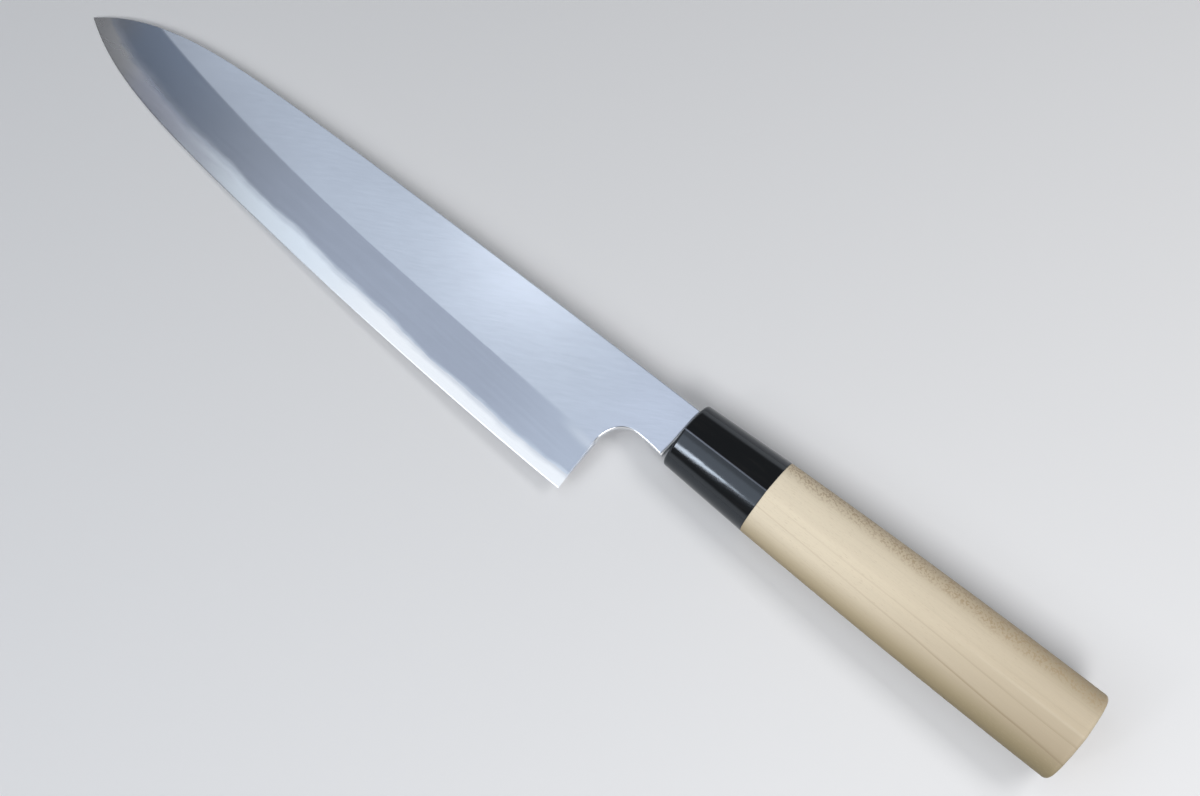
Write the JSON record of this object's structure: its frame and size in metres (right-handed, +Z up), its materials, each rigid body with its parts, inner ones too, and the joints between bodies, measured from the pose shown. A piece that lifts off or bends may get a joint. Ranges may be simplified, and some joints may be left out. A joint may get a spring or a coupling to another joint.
{
  "type": "gyuto knife",
  "caption": "Japanese chef's knife with a laminated steel blade, a polished dark horn ferrule and a D-section pale wooden handle.",
  "frame": {"origin": "centre of the bottom of the bounding box; the knife lies on its right side as it comes to rest on a table, left face up", "axes": "+X runs along the handle from the tip to the butt, +Y from the edge to the spine, +Z up, out of the blade's left face"},
  "size_m": [0.352, 0.0462, 0.0237],
  "materials": {
    "core_steel": "bright polished core, almost white along the edge",
    "cladding_steel": "satin upper face, darker matte bevel",
    "horn": "polished near-black buffalo horn",
    "magnolia": "bare pale magnolia, finely sanded",
    "dowel_wood": "sawn, inside the handle",
    "resin": "dark matte sealing resin"
  },
  "bodies": {
    "root": {"core_steel": "core_steel", "cladding_left": "cladding_steel", "cladding_right": "cladding_steel", "ferrule": "horn", "handle": "magnolia", "ferrule_dowel": "dowel_wood", "tang_seal": "resin"}
  },
  "joints": []
}
